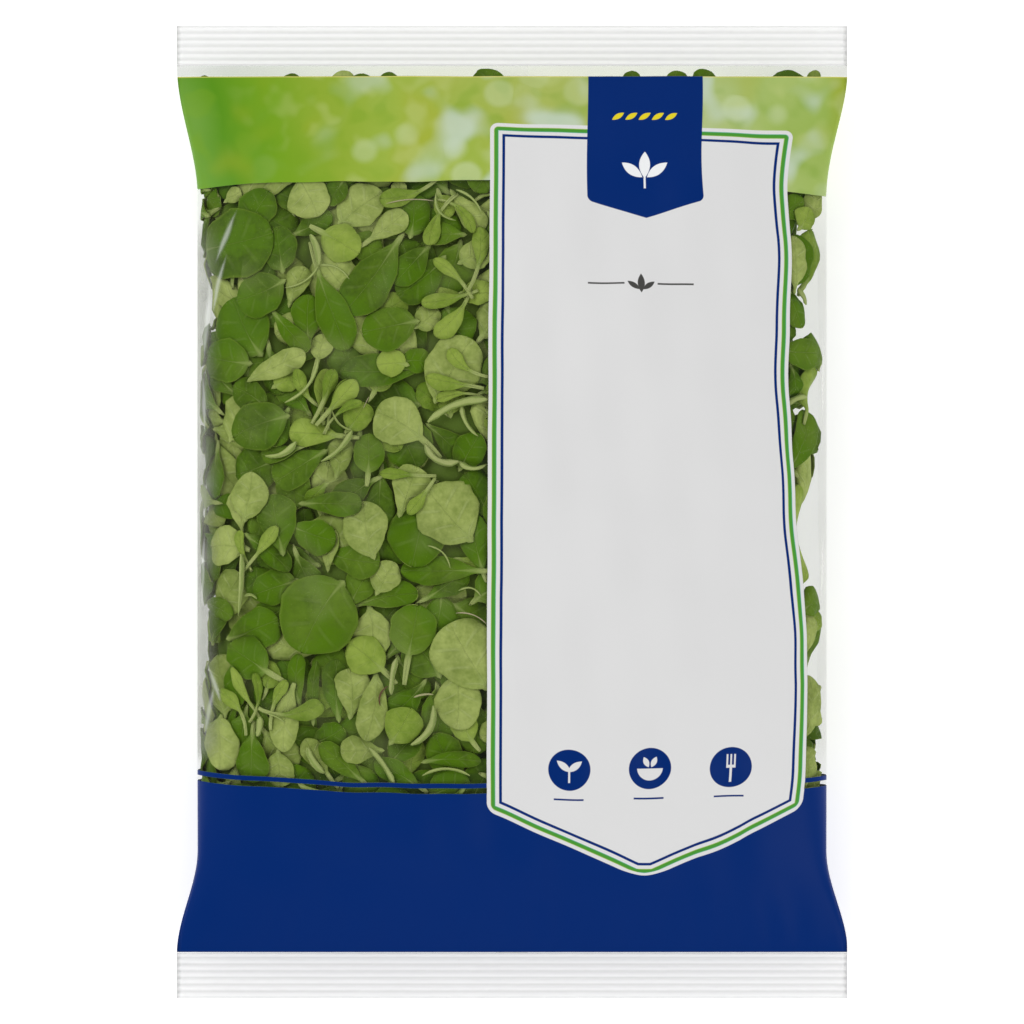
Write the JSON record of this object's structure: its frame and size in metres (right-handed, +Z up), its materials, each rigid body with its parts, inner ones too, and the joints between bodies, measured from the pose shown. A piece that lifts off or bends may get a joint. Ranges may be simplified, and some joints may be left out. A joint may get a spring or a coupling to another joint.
{
  "type": "bag of salad leaves",
  "caption": "Sealed clear pillow bag filled with small salad leaves, with crimped end seals, colour bands and a blank pointed label panel, lying on its back.",
  "frame": {"origin": "on the surface the bag lies on, under the middle of its outline", "axes": "+X across the bag, +Y towards its top seal, +Z up out of the printed front"},
  "size_m": [0.24, 0.348, 0.0478],
  "materials": {
    "clear_film": "clear printed film over green leaves, soft gloss",
    "salad_leaf": "fresh leaf, satin, paler and matt underneath",
    "leaf_stem": "pale juicy stem, satin"
  },
  "bodies": {
    "root": {"salad_bag": "clear_film"}
  },
  "joints": []
}
